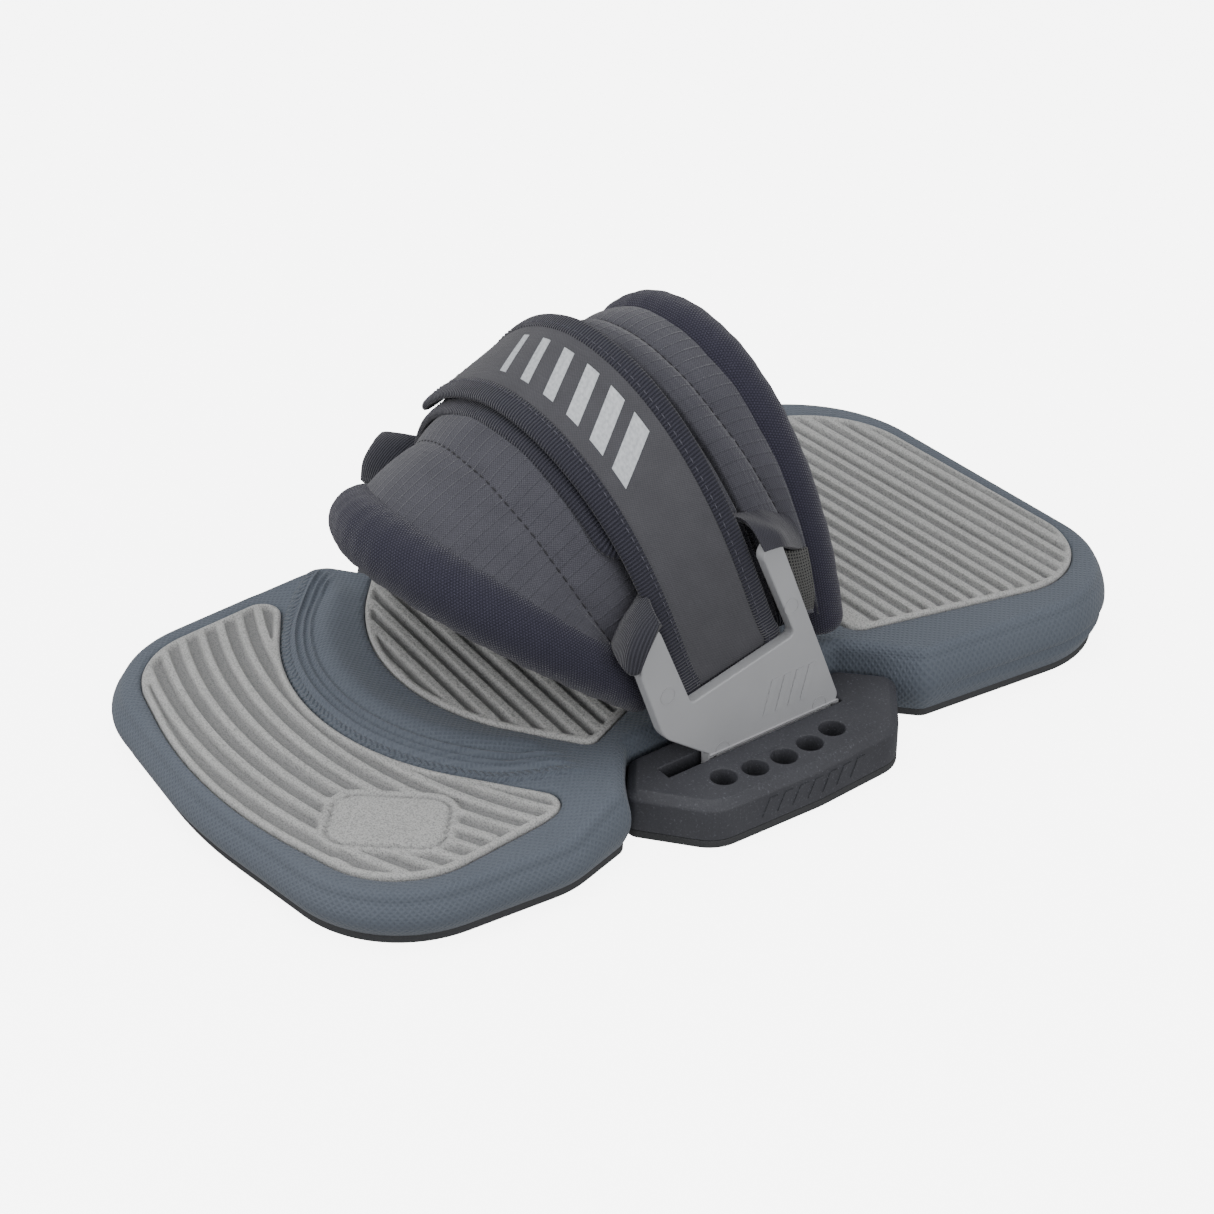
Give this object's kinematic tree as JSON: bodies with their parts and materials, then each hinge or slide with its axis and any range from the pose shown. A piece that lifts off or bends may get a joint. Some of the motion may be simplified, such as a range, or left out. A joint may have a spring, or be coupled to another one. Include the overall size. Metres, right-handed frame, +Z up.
{
  "type": "board foot binding",
  "caption": "Foot binding for a kiteboard or wakeboard: foam footpad on a winged chassis, U brackets, padded saddle strap and hook-and-loop closing strap.",
  "frame": {"origin": "on the board's surface, midway between the two middle screw holes", "axes": "+X to one side, +Y towards the heel along the longest extent, +Z up away from the board"},
  "size_m": [0.1844, 0.289, 0.1201],
  "materials": {
    "base_rubber": "matte",
    "nylon": "matte",
    "pad_foam": "matte",
    "grip_foam": "matte",
    "bracket_plastic": "satin",
    "pin_steel": "satin",
    "webbing": "matte",
    "saddle_foam": "matte",
    "lining_fabric": "matte",
    "roll_neoprene": "matte",
    "outer_fabric": "matte",
    "strap_face": "matte",
    "strap_binding": "matte",
    "hook_tape": "matte",
    "loop_tape": "matte"
  },
  "bodies": {
    "base": {"base_sheet": "base_rubber", "chassis": "nylon", "pad_body": "pad_foam", "toe_insert": "grip_foam", "arch_insert": "grip_foam", "heel_insert": "grip_foam"},
    "strap_carrier": {"bracket_right": "bracket_plastic", "bracket_left": "bracket_plastic", "anchor_pin_right": "pin_steel", "anchor_pin_left": "pin_steel", "strap_loop_right": "webbing", "strap_loop_left": "webbing", "saddle_core": "saddle_foam", "saddle_lining": "lining_fabric", "front_roll": "roll_neoprene", "rear_roll": "roll_neoprene", "front_panel": "outer_fabric", "centre_panel": "outer_fabric", "rear_panel": "outer_fabric", "arm_tab_front_right": "webbing", "arm_tab_rear_right": "webbing", "arm_tab_front_left": "webbing", "arm_tab_rear_left": "webbing"},
    "closing_strap": {"upper_strap": "strap_face", "upper_binding_front": "strap_binding", "upper_binding_rear": "strap_binding", "hook_patch": "hook_tape"},
    "under_strap": {"lower_strap": "strap_face", "loop_patch": "loop_tape"}
  },
  "joints": [
    {"name": "strap_position", "type": "slide", "parent": "base", "child": "strap_carrier", "axis": [0, 1, 0], "range_m": [-0.014, 0]},
    {"name": "closing_strap_opening", "type": "hinge", "parent": "strap_carrier", "child": "closing_strap", "pos_m": [0.0632, -0.004, 0.04028], "axis": [0, 0.9778, 0.2096], "range_deg": [0, 60]},
    {"name": "under_strap_opening", "type": "hinge", "parent": "strap_carrier", "child": "under_strap", "pos_m": [-0.0632, -0.004, 0.04028], "axis": [0, -0.9778, -0.2096], "range_deg": [0, 24]}
  ],
  "couplings": [
    {"joint": "under_strap_opening", "follows": "closing_strap_opening", "ratio": 0.4}
  ]
}
